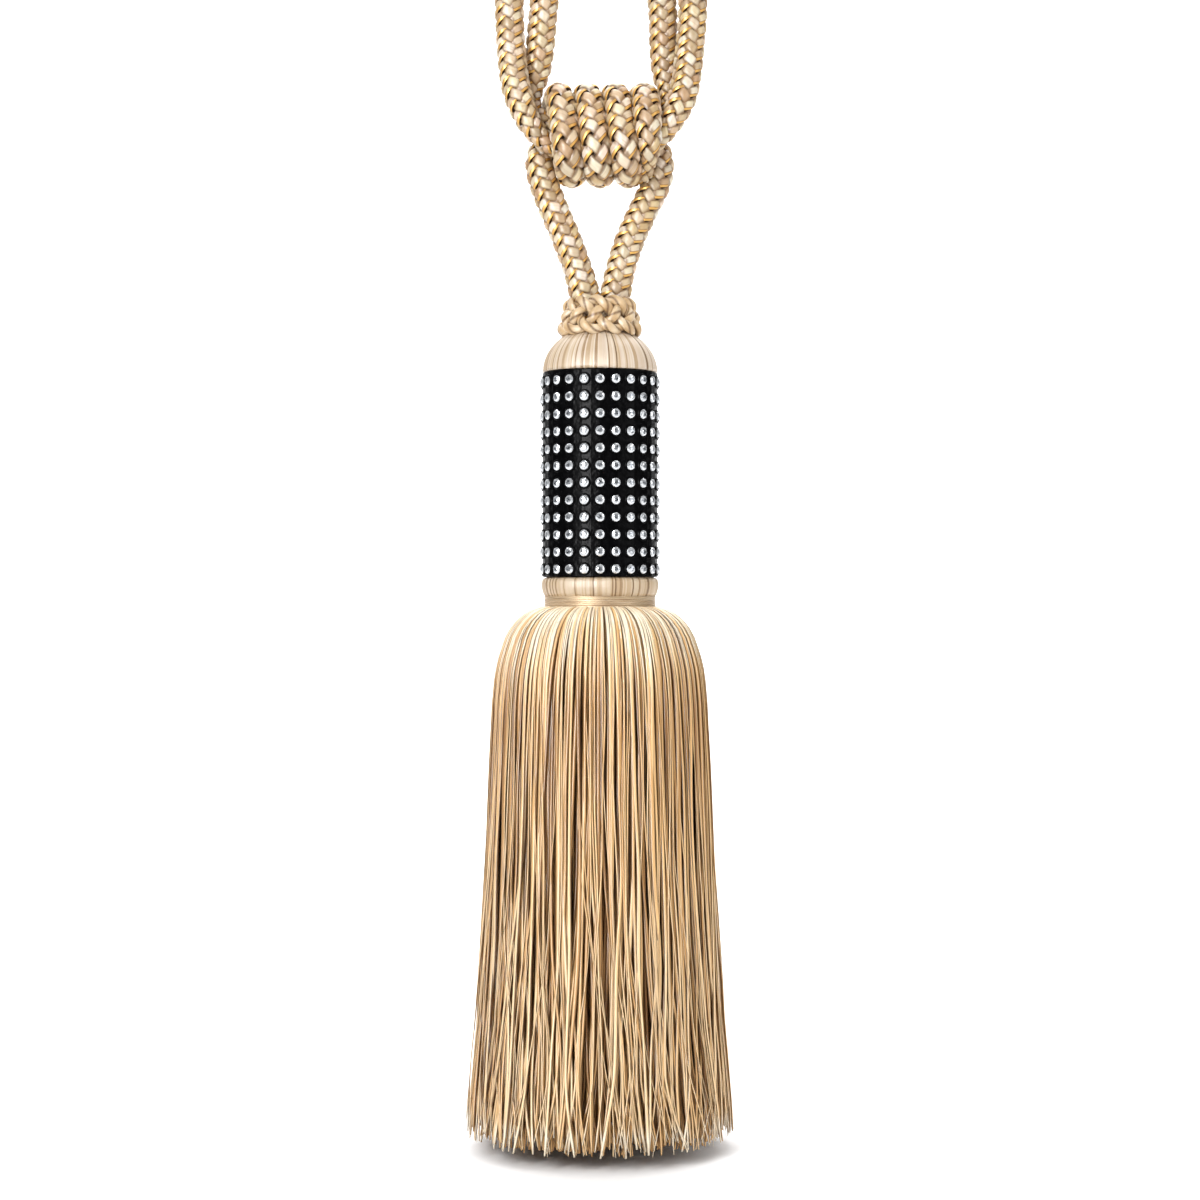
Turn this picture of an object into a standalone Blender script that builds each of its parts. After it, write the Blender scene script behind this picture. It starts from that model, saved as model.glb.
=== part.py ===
"""A curtain tieback with a long tassel, hanging still from a hook. Metres, +Z up.

The origin is where both rope loops bear on the hook. The tassel hangs straight below it on the Z axis, and
the photographed side faces -Y. Every height is a drop below the hook.
"""

import math
import random

import bmesh
import bpy
from mathutils import Vector

MM = 0.001
GAP = 0.3 * MM  # kept between two pieces that touch on the real object

# Rope: the same braided rope makes the tieback, the tassel's hanging loop and the coil that binds them.
ROPE_RADIUS = 4.6 * MM
ROPE_SIDES_RESOLUTION = 3  # a curve's bevel_resolution of 3 gives 10 sides
LONGEST_STEP = 14 * MM
SHARPEST_STEP = math.radians(20)
LARGEST_SWELL = 0.3 * MM

# The three rope strands inside the knot, where the coil squeezes them: columns are depth and drop.
SQUEEZED_RADIUS = 3.3 * MM
OUTER_STRAND = (-4.0 * MM, 140.2 * MM)
INNER_STRAND = (-0.3 * MM, 130.9 * MM)
HANGING_STRAND = (4.0 * MM, 137.2 * MM)

# The coil around them.
COIL_PITCH = 9.42 * MM
COIL_FIRST_TOP = -13.9 * MM  # x of the coil where it first crosses over the top
COIL_RADIUS = 4.5 * MM
COIL_STEPS = 18  # points a turn
COIL_FIRST_STEP = -6  # the end tucked in behind
COIL_LAST_STEP = 55  # where the last turn thins out and tucks under
# That end: columns are x, depth, drop and rope radius, in millimetres.
COIL_TAIL = (
    (15.2, -8.1, 127.2, 4.2),
    (15.4, -10.9, 131.2, 4.0),
    (15.8, -12.2, 135.8, 3.8),
    (16.2, -11.7, 140.2, 3.4),
    (16.2, -9.9, 143.4, 2.8),
    (16.0, -8.0, 144.9, 2.3),
)

# Tassel, from the collar down.
COLLAR_DROP = 196.5 * MM
COLLAR_RADIUS = 11.55 * MM
COLLAR_HEIGHT = 10.0 * MM
COLLAR_CORD_RADIUS = 1.1 * MM
COLLAR_LEADS = 3
COLLAR_BIGHTS = 14
COLLAR_SWING = 1.35 * MM  # how far the cord swings out and in as it crosses itself
COLLAR_LEAN = 0.6 * MM  # how far the knot draws in at its top and out at its foot
# One edge-to-edge run of the cord: columns are degrees of its rise and fall, and the share of the swing.
COLLAR_CROSSINGS = ((0, 0.0), (30, 1.0), (75, 0.95), (105, -0.95), (150, -1.0))

HEAD_TOP_DROP = 200.9 * MM
HEAD_TOP_RADIUS = 9.5 * MM
DOME_FOOT_DROP = 214.1 * MM
DOME_HEIGHT = 15.4 * MM  # of the full ellipse, whose top the head cuts off flat
HEAD_RADIUS = 19.1 * MM
CORE_RADIUS = 17.8 * MM
SLEEVE_THICKNESS = 1.0 * MM
SLEEVE_TOP_DROP = 214.4 * MM
SLEEVE_FOOT_DROP = 282.4 * MM
ROLL_TOP_DROP = 282.7 * MM  # the roll of wrapped yarn that shows under the sleeve
ROLL_FOOT_DROP = 289.0 * MM
ROLL_RADIUS = 19.3 * MM
ROLL_FOOT_RADIUS = 18.3 * MM
ROUND_STEPS = 40

BINDING_TOP_DROP = 289.4 * MM
BINDING_FOOT_DROP = 292.3 * MM
BINDING_RADIUS = 18.6 * MM
BINDING_THICKNESS = 1.0 * MM

# Skirt: three rings of yarn locks, one inside another, that grow from one neck.
NECK_RADIUS = 17.2 * MM
NECK_TOP_DROP = 289.3 * MM
LOCKS_A_RING = 96
HEM_DROP = 467.0 * MM
HEM_UNEVENNESS = 2.2 * MM
LOCK_FILL = 0.8  # a lock's width as a share of the room it has on its ring
LOCK_DEPTH = 0.5  # a lock's depth as a share of its width
SWAY = 0.07  # how far a lock strays sideways at the hem, as a share of its room
# Outline of the outer ring: columns are drop and radius, in millimetres.
SKIRT_OUTLINE = (
    (292.6, 17.4),
    (293.6, 22.6),
    (295.2, 25.9),
    (298.0, 28.9),
    (302.0, 31.2),
    (308.0, 33.3),
    (314.0, 34.7),
    (323.3, 35.6),
    (343.3, 36.6),
    (376.7, 38.0),
    (403.3, 39.6),
    (430.0, 41.2),
    (456.7, 43.9),
    (467.0, 44.6),
)
# Rings of locks, in millimetres: columns are top and foot of the neck band they grow from, the neck's radius
# at its foot, the share of the outline's radius that they reach, how much lower than the outline they start,
# and the drops of their bends.
LOCK_RINGS = (
    (292.6, 294.2, 16.8, 1.00, 0.0, (294.6, 299.0, 309.0, 340.0, 403.0)),
    (294.2, 296.4, 15.2, 0.87, 4.0, (299.5, 306.0, 330.0, 400.0)),
    (296.4, 297.6, 12.2, 0.72, 8.0, (304.5, 314.0, 336.0, 400.0)),
)

# Rope routes by hand: columns are x, depth, drop and rope radius, in millimetres.
# The tieback's right side: out of the knot as the outer strand, over the hook, back in as the inner strand.
RIGHT_SIDE = (
    (0.0, -4.0, 140.2, 3.3),
    (9.3, -4.0, 140.2, 3.3),
    (14.8, -4.1, 139.6, 3.3),
    (18.8, -4.8, 137.4, 3.3),
    (22.0, -5.8, 133.8, 3.7),
    (24.6, -6.5, 129.6, 4.1),
    (27.0, -5.9, 124.4, 4.5),
    (28.5, -4.5, 118.3, 4.6),
    (29.3, -3.3, 112.0, 4.6),
    (29.9, -2.3, 106.3, 4.6),
    (30.6, -1.4, 98.5, 4.6),
    (30.9, -0.6, 90.5, 4.6),
    (30.4, 0.6, 81.5, 4.6),
    (27.7, 2.2, 71.0, 4.6),
    (23.2, 3.6, 55.0, 4.6),
    (18.1, 4.7, 40.5, 4.6),
    (16.2, 4.9, 29.6, 4.6),
    (15.8, 4.9, 17.4, 4.6),
    (13.0, 4.9, 4.1, 4.6),
    (8.0, 4.9, -2.3, 4.6),
    (0.0, 4.9, -4.7, 4.6),
    (-8.0, 4.9, -2.3, 4.6),
    (-13.4, 4.9, 5.5, 4.6),
    (-13.0, 4.9, 14.7, 4.6),
    (-5.4, 4.9, 26.2, 4.6),
    (2.6, 4.9, 35.4, 4.6),
    (8.8, 4.8, 44.7, 4.6),
    (13.7, 4.2, 58.3, 4.6),
    (18.1, 3.1, 74.4, 4.6),
    (20.7, 1.7, 90.5, 4.6),
    (21.1, 2.2, 98.5, 4.6),
    (21.4, 2.9, 106.5, 4.6),
    (21.9, 3.4, 113.6, 4.4),
    (22.8, 3.2, 119.4, 3.6),
    (23.0, 2.2, 124.0, 3.1),
    (21.6, 0.7, 128.0, 3.1),
    (18.6, -0.2, 130.4, 3.2),
    (14.8, -0.3, 130.9, 3.3),
    (9.3, -0.3, 130.9, 3.3),
)
# The left side, the other way round: up as the inner strand, over the hook, down as the outer strand.
LEFT_SIDE = (
    (0.0, -0.3, 130.9, 3.3),
    (-9.3, -0.3, 130.9, 3.3),
    (-14.8, -0.3, 130.9, 3.3),
    (-18.6, -0.2, 130.4, 3.2),
    (-21.6, 0.7, 128.0, 3.1),
    (-23.0, 2.2, 124.0, 3.1),
    (-22.7, 3.1, 119.4, 3.5),
    (-21.3, 3.3, 113.6, 4.4),
    (-20.2, 2.6, 106.7, 4.6),
    (-19.4, 1.7, 98.7, 4.6),
    (-18.6, 0.6, 90.5, 4.6),
    (-16.7, -1.3, 74.4, 4.6),
    (-13.0, -3.2, 58.3, 4.6),
    (-8.8, -4.6, 44.7, 4.6),
    (-2.6, -4.9, 35.4, 4.6),
    (5.4, -4.9, 26.2, 4.6),
    (13.0, -4.9, 14.7, 4.6),
    (13.4, -4.9, 5.5, 4.6),
    (8.0, -4.9, -2.3, 4.6),
    (0.0, -4.9, -4.7, 4.6),
    (-8.0, -4.9, -2.3, 4.6),
    (-13.0, -4.9, 4.1, 4.6),
    (-15.8, -4.9, 17.4, 4.6),
    (-16.2, -4.9, 29.6, 4.6),
    (-18.1, -4.9, 40.5, 4.6),
    (-23.0, -4.4, 55.0, 4.6),
    (-27.3, -3.5, 71.0, 4.6),
    (-29.7, -2.4, 81.5, 4.6),
    (-30.2, -1.7, 90.5, 4.6),
    (-30.0, -1.9, 98.5, 4.6),
    (-29.6, -2.4, 106.7, 4.6),
    (-29.0, -3.3, 112.6, 4.6),
    (-28.2, -4.5, 118.8, 4.6),
    (-26.8, -5.9, 124.2, 4.5),
    (-24.7, -6.5, 129.6, 4.1),
    (-22.2, -5.8, 133.8, 3.7),
    (-18.8, -4.8, 137.4, 3.3),
    (-14.8, -4.1, 139.6, 3.3),
    (-9.3, -4.0, 140.2, 3.3),
)
# The tassel's hanging loop, from the collar up the left leg, through the knot and down the right leg.
HANGING_LOOP = (
    (-3.7, 0.0, 200.2, 3.4),
    (-3.7, 0.0, 196.5, 3.4),
    (-3.7, 0.0, 193.8, 3.4),
    (-4.2, 0.0, 191.2, 3.9),
    (-5.0, 0.0, 188.6, 4.6),
    (-7.1, 0.0, 180.8, 4.75),
    (-10.8, 0.0, 170.6, 4.75),
    (-15.3, 0.2, 160.0, 4.75),
    (-18.4, 0.6, 152.0, 4.75),
    (-20.2, 1.2, 146.0, 4.5),
    (-20.3, 2.1, 141.7, 4.0),
    (-18.8, 3.3, 138.2, 3.5),
    (-15.3, 3.9, 136.8, 3.3),
    (-9.3, 4.0, 137.2, 3.3),
    (0.0, 4.0, 137.2, 3.3),
    (9.3, 4.0, 137.2, 3.3),
    (15.2, 3.9, 136.8, 3.3),
    (18.6, 3.3, 138.2, 3.5),
    (20.0, 2.3, 141.7, 4.0),
    (20.1, 1.9, 146.6, 4.4),
    (18.1, 1.1, 152.6, 4.7),
    (14.5, 0.2, 160.0, 4.75),
    (9.7, 0.0, 170.6, 4.75),
    (6.6, 0.0, 180.8, 4.75),
    (5.0, 0.0, 188.6, 4.6),
    (4.2, 0.0, 191.2, 3.9),
    (3.7, 0.0, 193.8, 3.4),
    (3.7, 0.0, 196.5, 3.4),
    (3.7, 0.0, 200.2, 3.4),
)

YARN_CREAM = (0.80, 0.66, 0.45, 1.0)
ROPE_CREAM = (0.82, 0.70, 0.50, 1.0)
FRINGE_GOLD = (0.70, 0.53, 0.32, 1.0)
SATIN_GOLD = (0.74, 0.57, 0.34, 1.0)
SLEEVE_BLACK = (0.01, 0.01, 0.01, 1.0)


def clear_scene():
    for obj in list(bpy.data.objects):
        bpy.data.objects.remove(obj)


def make_material(name, colour, roughness):
    material = bpy.data.materials.new(name)
    material.use_nodes = True
    shader = material.node_tree.nodes["Principled BSDF"]
    shader.inputs["Base Color"].default_value = colour
    shader.inputs["Roughness"].default_value = roughness
    shader.inputs["Metallic"].default_value = 0.0
    return material


def add_part(name, data, material, parts):
    data.materials.append(material)
    obj = bpy.data.objects.new(name, data)
    parts.objects.link(obj)
    return obj


def place(row):
    """A route's row as (x, y, z, radius) in metres: depth is +Y and a drop is -Z."""
    x, depth, drop, radius = row
    return Vector((x * MM, depth * MM, -drop * MM, radius * MM))


def on_curve(corners, times, t):
    """The point at time t between the second and third of four corners."""
    sides = [corners[k].lerp(corners[k + 1], (t - times[k]) / (times[k + 1] - times[k])) for k in range(3)]
    bends = [sides[k].lerp(sides[k + 1], (t - times[k]) / (times[k + 2] - times[k])) for k in range(2)]
    return bends[0].lerp(bends[1], (t - times[1]) / (times[2] - times[1]))


def smooth(knots, closed):
    """Close points on the centripetal Catmull-Rom curve through the knots, which hold x, y, z and radius."""
    count = len(knots)
    if not closed:
        knots = [2 * knots[0] - knots[1], *knots, 2 * knots[-1] - knots[-2]]
    spans = count if closed else count - 1
    points = []
    for span in range(spans):
        corners = [knots[(span + k - closed) % len(knots)] for k in range(4)]
        times = [0.0]
        for a, b in zip(corners, corners[1:]):
            times.append(times[-1] + math.sqrt((b.xyz - a.xyz).length))
        steps = max(2, round((corners[2].xyz - corners[1].xyz).length / MM))
        for step in range(steps):
            points.append(on_curve(corners, times, times[1] + (times[2] - times[1]) * step / steps))
    if not closed:
        points.append(knots[-2])
    return points


def thinned(points, closed):
    """Fewer points: one wherever the line has turned, run on or swelled enough since the last."""
    kept = [points[0]]
    turned = run = 0.0
    for before, point, after in zip(points, points[1:], points[2:]):
        turned += (point.xyz - before.xyz).angle(after.xyz - point.xyz, 0.0)
        run += (point.xyz - before.xyz).length
        swell = abs(point.w - kept[-1].w)
        if turned >= SHARPEST_STEP or run >= LONGEST_STEP or swell >= LARGEST_SWELL:
            kept.append(point)
            turned = run = 0.0
    if not closed:
        kept.append(points[-1])
    return kept


def make_tube(name, points, closed, material, parts, resolution=ROPE_SIDES_RESOLUTION):
    """A rope as a bevelled curve, as thick at each point as the point says."""
    curve = bpy.data.curves.new(name, "CURVE")
    curve.dimensions = "3D"
    curve.bevel_depth = ROPE_RADIUS
    curve.bevel_resolution = resolution
    curve.use_fill_caps = not closed
    spline = curve.splines.new("POLY")
    spline.points.add(len(points) - 1)
    spline.use_cyclic_u = closed
    for target, point in zip(spline.points, points):
        target.co = (*point.xyz, 1.0)
        target.radius = point.w / ROPE_RADIUS
    return add_part(name, curve, material, parts)


def around_core(turn):
    """(depth, drop) of the coil's centre at a turn, where 0 is on top, 0.25 in front and 0.75 behind.

    The coil lies as a string would that is pulled tight around the three squeezed strands.
    """
    reach = SQUEEZED_RADIUS + COIL_RADIUS + 1.6 * GAP
    samples = []
    for k in range(360):
        away = Vector((-math.sin(math.radians(k)), -math.cos(math.radians(k))))
        strand = max(
            (OUTER_STRAND, INNER_STRAND, HANGING_STRAND),
            key=lambda centre: away.dot(Vector(centre)),
        )
        samples.append(Vector(strand) + reach * away)
    lengths = [0.0]
    for a, b in zip(samples, samples[1:] + samples[:1]):
        lengths.append(lengths[-1] + (b - a).length)
    wanted = (turn % 1.0) * lengths[-1]
    k = max(i for i in range(360) if lengths[i] <= wanted)
    share = (wanted - lengths[k]) / (lengths[k + 1] - lengths[k])
    return samples[k].lerp(samples[(k + 1) % 360], share)


def coil_points():
    """Four turns round the knot. Both ends are tucked under, where they are squeezed thin."""
    points = []
    for step in range(COIL_FIRST_STEP, COIL_LAST_STEP + 1):
        turn = step / COIL_STEPS
        depth, drop = around_core(turn)
        points.append(Vector((COIL_FIRST_TOP + COIL_PITCH * turn, depth, -drop, COIL_RADIUS)))
    points[0].w *= 0.75
    return points + [place(row) for row in COIL_TAIL]


def collar_points():
    """A Turk's head knot: one cord that goes round and round, weaving between the collar's two edges."""
    middle = COLLAR_HEIGHT / 2 - COLLAR_CORD_RADIUS
    points = []
    for run in range(2 * COLLAR_BIGHTS):
        for phase, swing in COLLAR_CROSSINGS:
            rise = math.radians(180 * run + phase)
            angle = rise * COLLAR_LEADS / COLLAR_BIGHTS
            radius = COLLAR_RADIUS - COLLAR_LEAN * math.cos(rise) + COLLAR_SWING * swing
            x = radius * math.cos(angle)
            y = radius * math.sin(angle)
            z = -COLLAR_DROP + middle * math.cos(rise)
            points.append(Vector((x, y, z, COLLAR_CORD_RADIUS)))
    return points


def make_turned(name, profile, closed, material, parts):
    """A solid turned round Z. The profile holds (radius, drop) and runs down its outer side."""
    mesh = bpy.data.meshes.new(name)
    points = [(radius, 0.0, -drop) for radius, drop in profile]
    edges = [(k, k + 1) for k in range(len(points) - 1)]
    if closed:
        edges.append((len(points) - 1, 0))
    mesh.from_pydata(points, edges, [])
    obj = add_part(name, mesh, material, parts)
    screw = obj.modifiers.new("turn", "SCREW")
    screw.angle = 2 * math.pi
    screw.steps = ROUND_STEPS
    screw.render_steps = ROUND_STEPS
    screw.use_merge_vertices = True
    screw.merge_threshold = 0.00001
    screw.use_smooth_shade = True
    return obj


def head_profile():
    """The yarn-wrapped mould: a dome, a waist that the sleeve hides, and a roll at its foot."""
    profile = [(0.0, HEAD_TOP_DROP), (HEAD_TOP_RADIUS - 1.0 * MM, HEAD_TOP_DROP)]
    lowest = math.acos((DOME_FOOT_DROP - HEAD_TOP_DROP) / DOME_HEIGHT)
    bends = 7
    for k in range(bends + 1):
        angle = lowest + (math.pi / 2 - lowest) * k / bends
        profile.append((HEAD_RADIUS * math.sin(angle), DOME_FOOT_DROP - DOME_HEIGHT * math.cos(angle)))
    profile += [(CORE_RADIUS, DOME_FOOT_DROP), (CORE_RADIUS, ROLL_TOP_DROP)]
    profile.append((HEAD_RADIUS - 0.5 * MM, ROLL_TOP_DROP))
    roll = ((0.25, ROLL_RADIUS), (0.5, ROLL_RADIUS), (0.8, HEAD_RADIUS - 0.2 * MM), (1.0, ROLL_FOOT_RADIUS))
    for share, radius in roll:
        profile.append((radius, ROLL_TOP_DROP + share * (ROLL_FOOT_DROP - ROLL_TOP_DROP)))
    profile.append((0.0, ROLL_FOOT_DROP))
    return profile


def ring_profile(outer, thickness, top, foot):
    rounding = min(thickness, foot - top) / 4
    return [
        (outer - thickness, top),
        (outer - rounding, top),
        (outer, top + rounding),
        (outer, foot - rounding),
        (outer - rounding, foot),
        (outer - thickness, foot),
    ]


def outline_radius(drop):
    """The skirt's outer radius at a drop, both in millimetres."""
    for (above, wide_above), (below, wide_below) in zip(SKIRT_OUTLINE, SKIRT_OUTLINE[1:]):
        if drop <= below:
            share = max(0.0, (drop - above) / (below - above))
            return wide_above + share * (wide_below - wide_above)
    return SKIRT_OUTLINE[-1][1]


def neck_and_root_faces():
    """The skirt's neck, turned, and for each ring of locks the three-cornered faces that they grow from."""
    profile = [(0.0, NECK_TOP_DROP), (NECK_RADIUS, NECK_TOP_DROP), (NECK_RADIUS, LOCK_RINGS[0][0] * MM)]
    profile += [(foot_radius * MM, foot * MM) for _, foot, foot_radius, *_ in LOCK_RINGS]
    profile.append((0.0, LOCK_RINGS[-1][1] * MM))
    bm = bmesh.new()
    line = [bm.verts.new((radius, 0.0, -drop)) for radius, drop in profile]
    edges = [bm.edges.new(pair) for pair in zip(line, line[1:])]
    bmesh.ops.spin(
        bm,
        geom=line + edges,
        cent=(0, 0, 0),
        axis=(0, 0, 1),
        angle=2 * math.pi,
        steps=LOCKS_A_RING,
        use_merge=True,
    )
    bmesh.ops.remove_doubles(bm, verts=bm.verts, dist=0.01 * MM)
    bmesh.ops.triangulate(bm, faces=bm.faces)
    bmesh.ops.recalc_face_normals(bm, faces=bm.faces)
    roots = []
    for top, foot, *_ in LOCK_RINGS:
        band = [
            face
            for face in bm.faces
            if all(-foot * MM - 0.01 * MM < v.co.z < -top * MM + 0.01 * MM for v in face.verts)
            and sum(abs(v.co.z + top * MM) < 0.01 * MM for v in face.verts) == 2
        ]
        roots.append(sorted(band, key=face_angle))
    return bm, roots


def face_angle(face):
    """Where a root face stands round the neck, by the middle of its upper edge."""
    upper = sorted(face.verts, key=lambda v: -v.co.z)[:2]
    middle = upper[0].co + upper[1].co
    return math.atan2(middle.y, middle.x)


def lock_corners(angle, radius, drop):
    """The three corners of a lock's section: two outside, side by side, and one behind them, in metres."""
    width = LOCK_FILL * 2 * math.pi * radius / LOCKS_A_RING
    half = width / 2 / radius
    inner = radius - LOCK_DEPTH * width
    return {
        "left": Vector((radius * math.cos(angle + half), radius * math.sin(angle + half), -drop)),
        "right": Vector((radius * math.cos(angle - half), radius * math.sin(angle - half), -drop)),
        "inner": Vector((inner * math.cos(angle), inner * math.sin(angle), -drop)),
    }


def root_corners(face):
    """A root face's corners, named as in lock_corners."""
    angle = face_angle(face)
    side = Vector((-math.sin(angle), math.cos(angle), 0.0))
    lowest = min(face.verts, key=lambda v: v.co.z)
    right, left = sorted((v for v in face.verts if v is not lowest), key=lambda v: v.co.dot(side))
    return {"left": left.co.copy(), "right": right.co.copy(), "inner": lowest.co.copy()}


def grow_lock(bm, face, sections):
    """One lock: its root face extruded from section to section."""
    corners = root_corners(face)
    for section in sections:
        face = bmesh.ops.extrude_discrete_faces(bm, faces=[face])["faces"][0]
        for vertex in face.verts:
            corner = min(corners, key=lambda name: (corners[name] - vertex.co).length)
            vertex.co = section[corner]
        corners = section


def make_skirt(material, parts):
    """The fringe: every lock is drawn out of the neck and hangs to a hem that is cut a little unevenly."""
    chance = random.Random(7)
    hem = HEM_DROP / MM
    bm, roots = neck_and_root_faces()
    for faces, (_, _, _, reach, lower, bends) in zip(roots, LOCK_RINGS):
        for face in faces:
            angle = face_angle(face)
            stray = chance.uniform(-SWAY, SWAY) * 2 * math.pi / LOCKS_A_RING
            end = hem - lower / 2 + chance.uniform(-1, 1) * HEM_UNEVENNESS / MM
            sections = []
            for drop in (*bends, end):
                share = (drop - bends[0]) / (hem - bends[0])
                radius = reach * outline_radius(drop - lower * (1 - share))
                sections.append(lock_corners(angle + stray * share, radius * MM, drop * MM))
            grow_lock(bm, face, sections)
    mesh = bpy.data.meshes.new("skirt")
    bm.to_mesh(mesh)
    bm.free()
    return add_part("skirt", mesh, material, parts)


def main():
    clear_scene()
    parts = bpy.data.collections.new("curtain_tieback_tassel")
    bpy.context.scene.collection.children.link(parts)
    rope = make_material("rope", ROPE_CREAM, 0.5)
    yarn = make_material("wrapped_yarn", YARN_CREAM, 0.45)
    fringe = make_material("fringe_yarn", FRINGE_GOLD, 0.5)
    satin = make_material("satin_thread", SATIN_GOLD, 0.3)
    black = make_material("sleeve_plastic", SLEEVE_BLACK, 0.35)

    tieback = smooth([place(row) for row in RIGHT_SIDE + LEFT_SIDE], closed=True)
    make_tube("tieback_loop", thinned(tieback, closed=True), True, rope, parts)
    hanging = smooth([place(row) for row in HANGING_LOOP], closed=False)
    make_tube("hanging_loop", thinned(hanging, closed=False), False, rope, parts)
    make_tube("knot_coil", coil_points(), False, rope, parts)
    make_tube("collar", collar_points(), True, rope, parts, resolution=1)

    make_turned("head", head_profile(), False, yarn, parts)
    sleeve = ring_profile(HEAD_RADIUS, SLEEVE_THICKNESS, SLEEVE_TOP_DROP, SLEEVE_FOOT_DROP)
    make_turned("sleeve", sleeve, True, black, parts)
    binding = ring_profile(BINDING_RADIUS, BINDING_THICKNESS, BINDING_TOP_DROP, BINDING_FOOT_DROP)
    make_turned("binding", binding, True, satin, parts)
    make_skirt(fringe, parts)


main()
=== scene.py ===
"""Visual model and picture of a curtain tieback with a long tassel.

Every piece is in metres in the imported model's frame: +Z is up, the hook is at the origin and the photographed
side faces -Y. Tables give depth (+Y) and drop (-Z) in millimetres, like the part's own source.
"""

import math
from collections import namedtuple

import bpy
import numpy as np
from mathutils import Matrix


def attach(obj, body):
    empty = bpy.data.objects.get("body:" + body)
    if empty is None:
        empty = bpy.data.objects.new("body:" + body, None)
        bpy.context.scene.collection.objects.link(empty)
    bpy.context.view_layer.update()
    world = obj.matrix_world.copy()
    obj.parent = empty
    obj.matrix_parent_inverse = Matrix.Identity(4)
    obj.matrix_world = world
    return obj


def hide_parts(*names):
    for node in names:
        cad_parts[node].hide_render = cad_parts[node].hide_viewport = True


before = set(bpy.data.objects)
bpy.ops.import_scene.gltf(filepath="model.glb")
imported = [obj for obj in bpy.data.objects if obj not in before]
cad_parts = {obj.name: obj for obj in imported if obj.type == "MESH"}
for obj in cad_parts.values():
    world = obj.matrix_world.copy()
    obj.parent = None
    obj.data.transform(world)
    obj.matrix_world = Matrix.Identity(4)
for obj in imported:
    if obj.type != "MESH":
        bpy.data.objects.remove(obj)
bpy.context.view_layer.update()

MM = 0.001
FULL_TURN = 2 * math.pi
FRONT = np.array([0.0, -1.0, 0.0])
UP = np.array([0.0, 0.0, 1.0])

CAMERA_DISTANCE = 866.7 * MM
CAMERA_DROP = 290 * MM
CAMERA_LENS = 78  # mm
CAMERA_SENSOR = 36  # mm

# Braided rope: four carriers of two yarns each way round, which pass over one and under one. A lead is the
# length of rope in which a carrier goes once round it.
CARRIERS = 4
STEPS_A_LEAD = 44
LEG_LEAD = 16.0 * MM
TIEBACK_LEAD = 16.8 * MM
COIL_LEAD = 19.5 * MM
CARRIER_RISE = 0.45 * MM  # how far a carrier swings out and in
CARRIER_OVERLAP = 1.06  # a carrier's width as a share of the room it has
STITCH_LENGTH = 0.75  # below 1, a carrier stays on top for longer and dips faster
# A carrier's section: columns are place across it (-1 to 1) and height in mm.
CARRIER_SECTION = np.array([
    (-1.0, -0.62), (-0.76, 0.08), (-0.38, 0.40), (0.0, 0.27), (0.38, 0.40), (0.76, 0.08), (1.0, -0.62),
])
FRONT_COLUMN = math.radians(39)  # puts a column of plain stitches in front
ROPE_SWELL = 0.28 * MM  # how far soft yarn stands out past the route's radius
CROWN_REACH = 0.12 * MM  # how far the crown of a stitch stands out past that
STITCH_TONES = (0.1, 1.0)
CORE_DEPTH = 1.25 * MM  # how far the core lies inside the route's radius
CORE_SIDES = 10
CORE_STRIDE = 8  # steps of the rope to one of its core
# Strokes on the lower half of a right-hand stitch, which are a painted brown shadow, the gold thread and
# painted
# dark shade in the gap below it: columns are start, from the stitch's middle (0) to its edge (1), and colour.
THREAD_START = 0.30
SHADED_GAP_START = 0.70
STROKE_BLUR = 0.05
EDGE_STROKES = (
    (0.22, (0.20, 0.10, 0.03, 1.0)),
    (THREAD_START, (0.60, 0.335, 0.085, 1.0)),
    (SHADED_GAP_START, (0.02, 0.009, 0.003, 1.0)),
)

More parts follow.
